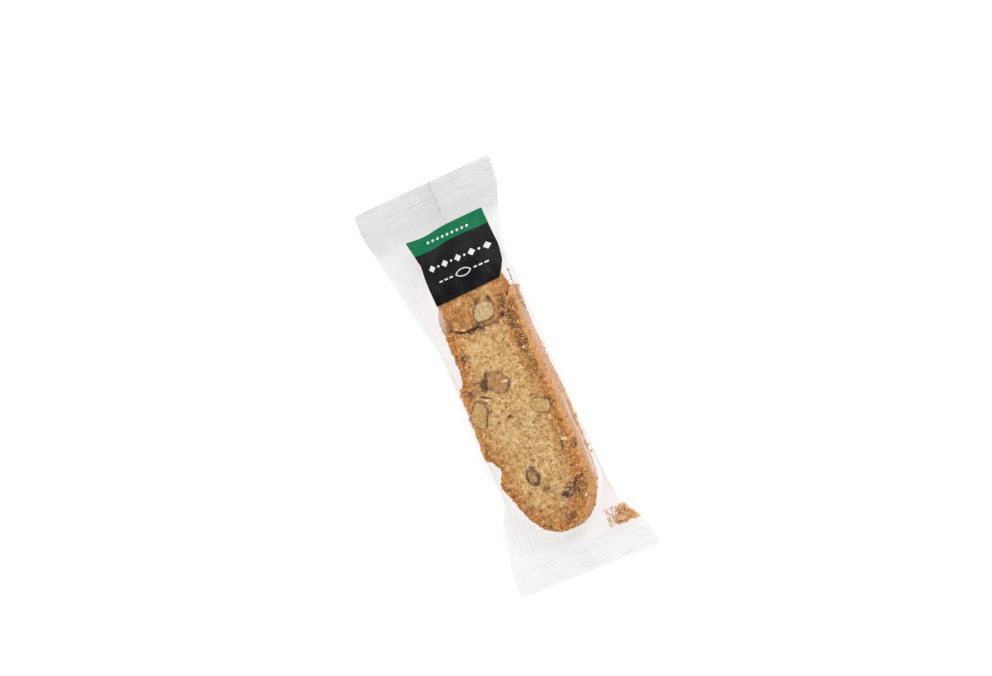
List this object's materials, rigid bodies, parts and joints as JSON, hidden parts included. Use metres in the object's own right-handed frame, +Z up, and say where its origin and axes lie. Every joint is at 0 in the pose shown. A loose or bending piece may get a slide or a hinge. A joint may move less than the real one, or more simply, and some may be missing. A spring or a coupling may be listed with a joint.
{
  "type": "biscotti",
  "caption": "Long almond biscuit sealed in a clear film pack with crimped ends, a back seam and a plain two-colour printed panel, lying with its front up.",
  "frame": {"origin": "middle of the bounding box, on the table under the pack", "axes": "+Y along the pack to its head end, the end with the print; +X to the pack's right seen from the front; +Z up out of the printed front"},
  "size_m": [0.0716, 0.1914, 0.0188],
  "materials": {
    "film": "clear, slightly hazy packing film",
    "print_green": "printed band on the film",
    "print_black": "printed field on the film",
    "crumb": "open baked crumb, golden, browner towards its crust",
    "almond": "cut almond",
    "almond_skin": "dry brown skin",
    "loose_crumbs": "loose toasted crumbs"
  },
  "bodies": {
    "root": {"sealed_pack": "film"}
  },
  "joints": []
}
